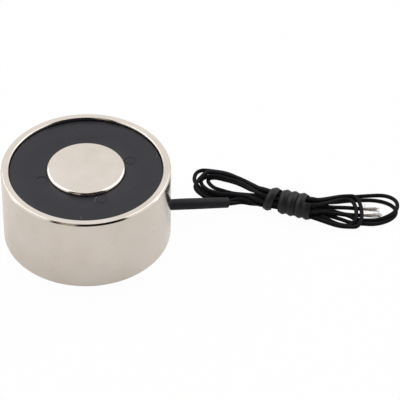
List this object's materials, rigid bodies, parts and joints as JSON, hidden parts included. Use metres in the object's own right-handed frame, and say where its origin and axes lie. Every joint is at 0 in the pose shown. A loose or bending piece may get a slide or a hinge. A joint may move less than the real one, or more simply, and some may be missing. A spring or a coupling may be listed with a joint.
{
  "type": "round holding electromagnet",
  "caption": "Round flat-pole holding electromagnet in a plated steel pot, with a centre pole, a potted coil and sleeved leads folded into a tied hank.",
  "frame": {"origin": "centre of the pot's back face, which rests on the table", "axes": "+Z along the magnet's axis, out of the pole face; +X towards the leads"},
  "size_m": [0.1551, 0.0686, 0.032],
  "materials": {
    "plated_steel": "bright nickel plate with a faint turned grain",
    "black_moulding": "satin moulded nylon",
    "copper_winding": "enamelled copper wire",
    "winding_tape": "polyester film tape",
    "resin": "cast black epoxy",
    "solder": "solder",
    "shrink_sleeve": "shrunk sleeve",
    "lead_sleeve": "smooth satin sleeve",
    "lead_insulation": "soft black insulation",
    "tie_ribbon": "dark grey plastic ribbon",
    "tinned_copper": "tinned copper strands"
  },
  "bodies": {
    "root": {"pot_housing": "plated_steel", "centre_pole": "plated_steel", "bobbin": "black_moulding", "coil_winding": "copper_winding", "winding_tape": "winding_tape", "potting_resin": "resin", "splice_1": "solder", "splice_2": "solder", "splice_sleeve_1": "shrink_sleeve", "splice_sleeve_2": "shrink_sleeve", "lead_sleeve": "lead_sleeve", "lead_wire_1": "lead_insulation", "lead_wire_2": "lead_insulation", "lead_hank": "lead_insulation", "hank_tie": "tie_ribbon", "conductor_end_1": "tinned_copper", "conductor_end_2": "tinned_copper"}
  },
  "joints": []
}
